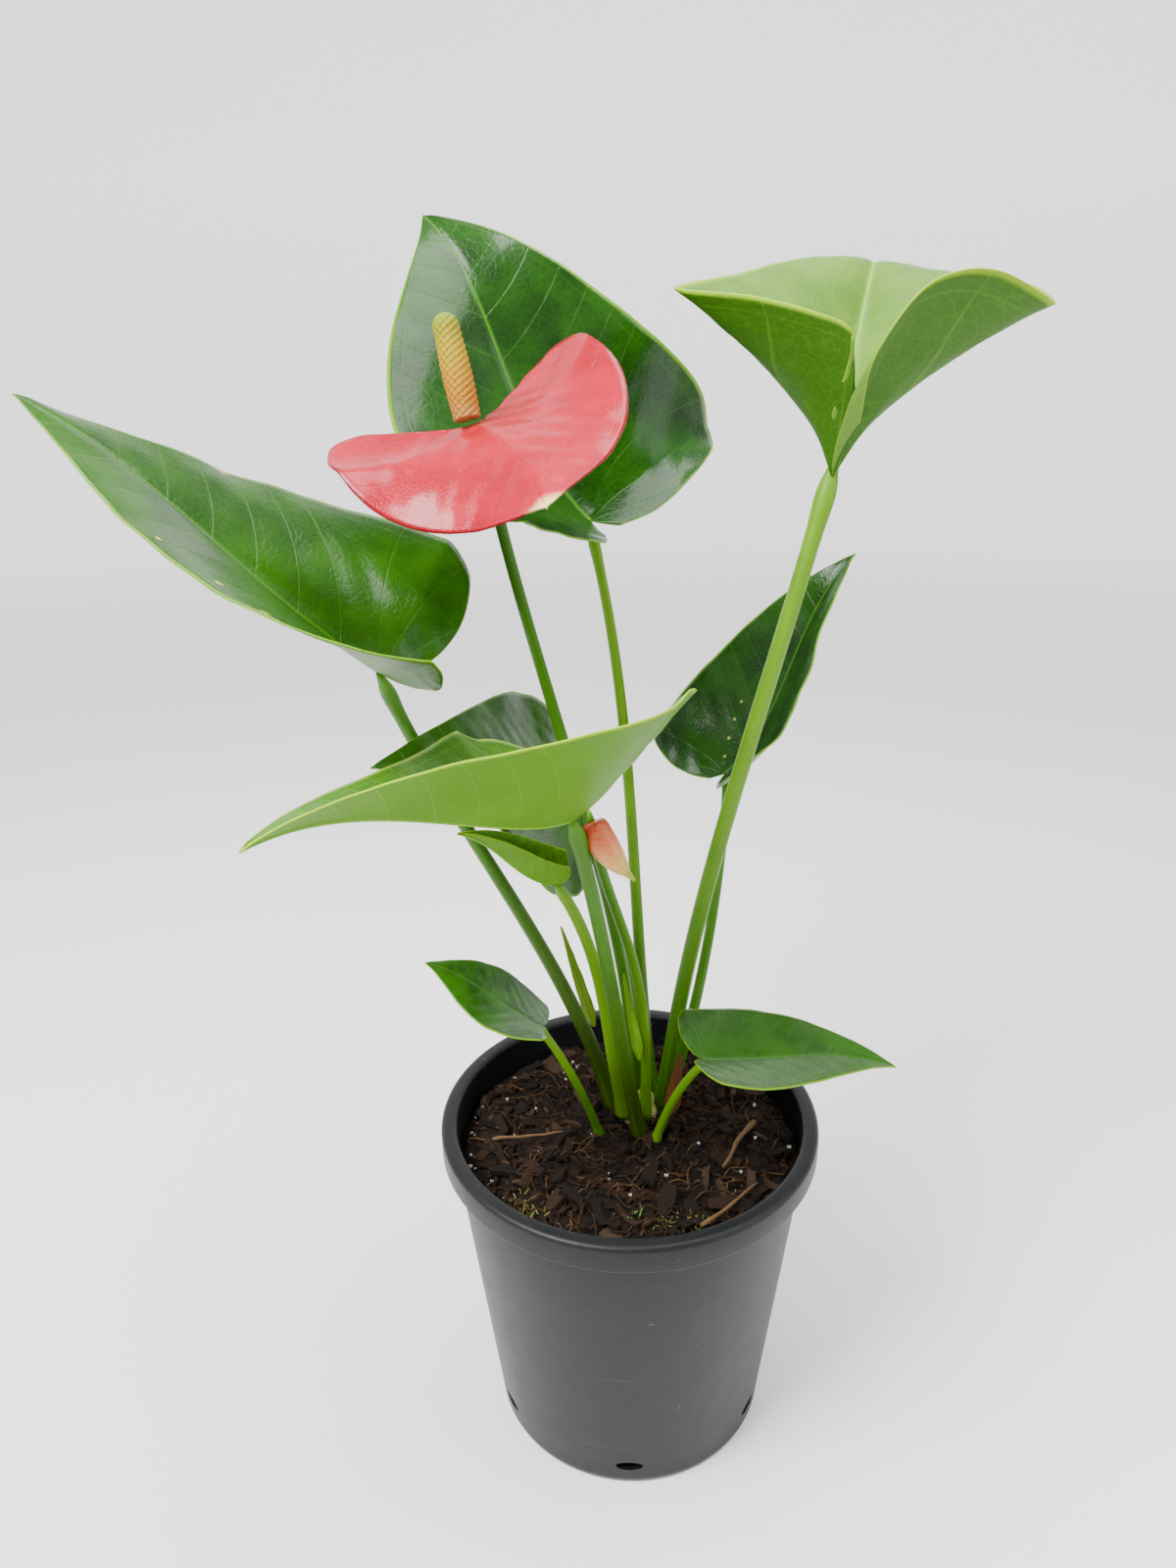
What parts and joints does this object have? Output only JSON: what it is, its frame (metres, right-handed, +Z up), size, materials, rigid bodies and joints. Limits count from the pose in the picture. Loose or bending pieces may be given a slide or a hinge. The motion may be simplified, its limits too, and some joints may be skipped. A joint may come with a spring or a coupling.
{
  "type": "potted anthurium",
  "caption": "Young flowering anthurium in a plain round nursery pot, with heart-shaped leaves on slender stalks, an open spathe with its spadix and a closed bud.",
  "frame": {"origin": "centre of the flat underside of the pot, where it rests on a surface", "axes": "+Z up, along the pot's axis; -Y towards the viewer in front of the plant; +X to that viewer's right"},
  "size_m": [0.2978, 0.2377, 0.4423],
  "materials": {
    "pot_plastic": "satin dark grey moulded plastic, faintly scuffed",
    "bark_mix": "loose moist bark and coir, matt",
    "bark": "rough bark chips, matt",
    "twig": "dry pale brown twig, matt",
    "crown": "pale corky crown",
    "leaf_dark": "glossy mature leaf, dark green with a paler underside",
    "leaf_mid": "glossy leaf, mid green with a paler underside",
    "leaf_young": "satin young leaf, light green with pale veins",
    "stalk_green": "smooth satin stalk, mid to olive green",
    "spathe_pink": "waxy gloss, salmon pink with a cream tip",
    "spadix_yellow": "finely bumpy, cream at the foot to greenish yellow at the top",
    "sheath_fresh": "thin fresh sheath, yellow-green",
    "sheath_dry": "thin papery dry sheath, brown"
  },
  "bodies": {
    "root": {"pot": "pot_plastic", "potting_mix": "bark_mix", "rootstock": "crown", "leaf_back": "leaf_dark", "leaf_left": "leaf_dark", "leaf_rear_right": "leaf_dark", "leaf_middle": "leaf_mid", "leaf_small_left": "leaf_mid", "leaf_small_right": "leaf_mid", "leaf_funnel": "leaf_young", "leaf_front": "leaf_young", "leaf_unrolling": "leaf_young", "petiole_back": "stalk_green", "petiole_left": "stalk_green", "petiole_funnel": "stalk_green", "petiole_rear_right": "stalk_green", "petiole_front": "stalk_green", "petiole_middle": "stalk_green", "petiole_unrolling": "stalk_green", "petiole_small_left": "stalk_green", "petiole_small_right": "stalk_green", "flower_stalk": "stalk_green", "bud_stalk": "stalk_green", "spathe": "spathe_pink", "bud_spathe": "spathe_pink", "spadix": "spadix_yellow", "sheath_green": "sheath_fresh", "sheath_thin": "sheath_dry", "sheath_papery": "sheath_dry", "bark_chip_1": "bark", "bark_chip_2": "bark", "bark_chip_3": "bark", "bark_chip_4": "bark", "bark_chip_5": "bark", "bark_chip_6": "bark", "bark_chip_7": "bark", "bark_chip_8": "bark", "bark_chip_9": "bark", "bark_chip_10": "bark", "twig_1": "twig", "twig_2": "twig", "twig_3": "twig"}
  },
  "joints": []
}
